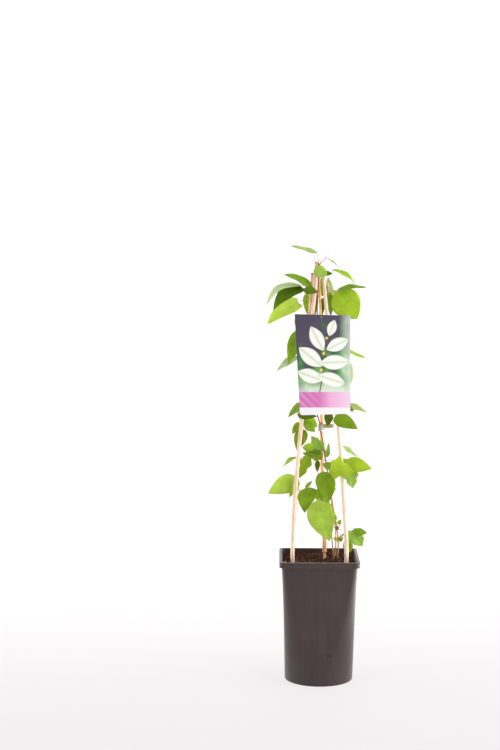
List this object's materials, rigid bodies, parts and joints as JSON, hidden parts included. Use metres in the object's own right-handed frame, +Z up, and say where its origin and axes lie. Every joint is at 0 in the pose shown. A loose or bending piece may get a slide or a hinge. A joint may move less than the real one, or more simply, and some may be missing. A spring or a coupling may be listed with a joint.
{
  "type": "potted climbing plant",
  "caption": "Young clematis plant trained up tied bamboo canes in a tall nursery pot, square at the rim and round at the base, with a hanging label",
  "frame": {"origin": "middle of the pot's base, on the surface that it stands on", "axes": "+Z up, the front with the label towards -Y, +X to the right seen from the front"},
  "size_m": [0.1791, 0.1378, 0.7446],
  "materials": {
    "pot": "satin",
    "soil": "matte",
    "cane": "satin",
    "cane_mottled": "satin",
    "stake": "satin",
    "foliage": "satin",
    "tape": "satin",
    "label": "gloss",
    "thread": "matte"
  },
  "bodies": {
    "root": {"pot": "pot", "soil": "soil", "cane_front_left": "cane", "cane_back_left": "cane_mottled", "cane_front_right": "cane", "stake_centre": "stake", "vine_left": "foliage", "vine_centre": "foliage", "vine_right": "foliage", "stake_tie": "tape", "top_tie": "tape", "label": "label", "label_tie": "thread"}
  },
  "joints": []
}
